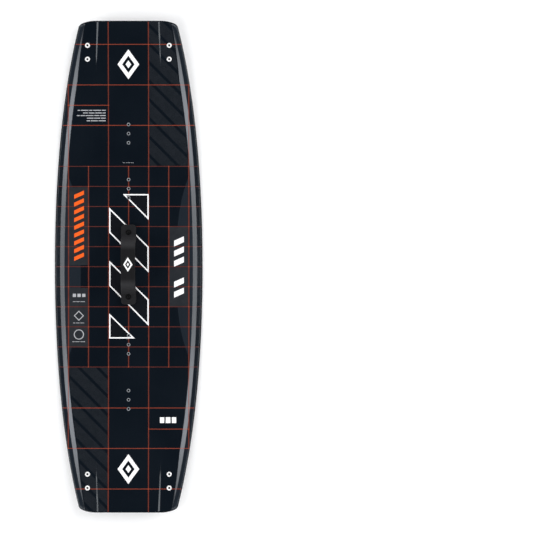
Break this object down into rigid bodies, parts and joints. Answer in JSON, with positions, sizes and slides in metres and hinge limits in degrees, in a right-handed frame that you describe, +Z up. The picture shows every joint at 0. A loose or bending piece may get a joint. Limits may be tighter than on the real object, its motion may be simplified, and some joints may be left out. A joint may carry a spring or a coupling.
{
  "type": "kiteboard",
  "caption": "Twin-tip kiteboard with a printed deck, square tips, screwed-on fins, threaded foot inserts and a bolted carry handle.",
  "frame": {"origin": "middle of the board in plan, at the level of the fin tips that it lies on", "axes": "+Z up, the deck normal at the middle; +Y along the board to the front tip; +X across the board to its right rail"},
  "size_m": [0.41, 1.36, 0.0882],
  "materials": {
    "topsheet": "satin",
    "print_orange": "satin",
    "print_white": "satin",
    "print_grey": "satin",
    "laminate": "satin",
    "core_wood": "matte",
    "base_sheet": "satin",
    "rail": "matte",
    "fin": "satin",
    "steel": "brushed",
    "washer": "satin",
    "brass": "satin",
    "handle_rubber": "matte",
    "webbing": "matte"
  },
  "bodies": {
    "root": {"topsheet": "topsheet", "top_laminate": "laminate", "wood_core": "core_wood", "base_laminate": "laminate", "base_sheet": "base_sheet", "rail_left": "rail", "rail_right": "rail", "rail_tip_front": "rail", "rail_tip_back": "rail", "foot_insert_front_1": "steel", "foot_insert_front_2": "steel", "foot_insert_front_3": "steel", "foot_insert_front_4": "steel", "foot_insert_front_5": "steel", "foot_insert_front_6": "steel", "foot_insert_back_1": "steel", "foot_insert_back_2": "steel", "foot_insert_back_3": "steel", "foot_insert_back_4": "steel", "foot_insert_back_5": "steel", "foot_insert_back_6": "steel", "handle_insert_front": "steel", "handle_insert_back": "steel", "fin_front_left": "fin", "fin_front_right": "fin", "fin_back_left": "fin", "fin_back_right": "fin", "fin_screw_front_left_inner": "steel", "fin_washer_front_left_inner": "washer", "fin_insert_front_left_inner": "brass", "fin_screw_front_left_outer": "steel", "fin_washer_front_left_outer": "washer", "fin_insert_front_left_outer": "brass", "fin_screw_front_right_inner": "steel", "fin_washer_front_right_inner": "washer", "fin_insert_front_right_inner": "brass", "fin_screw_front_right_outer": "steel", "fin_washer_front_right_outer": "washer", "fin_insert_front_right_outer": "brass", "fin_screw_back_left_inner": "steel", "fin_washer_back_left_inner": "washer", "fin_insert_back_left_inner": "brass", "fin_screw_back_left_outer": "steel", "fin_washer_back_left_outer": "washer", "fin_insert_back_left_outer": "brass", "fin_screw_back_right_inner": "steel", "fin_washer_back_right_inner": "washer", "fin_insert_back_right_inner": "brass", "fin_screw_back_right_outer": "steel", "fin_washer_back_right_outer": "washer", "fin_insert_back_right_outer": "brass", "handle_grip": "handle_rubber", "handle_strap": "webbing", "handle_screw_front": "steel", "handle_washer_front": "washer", "handle_screw_back": "steel", "handle_washer_back": "washer"}
  },
  "joints": []
}
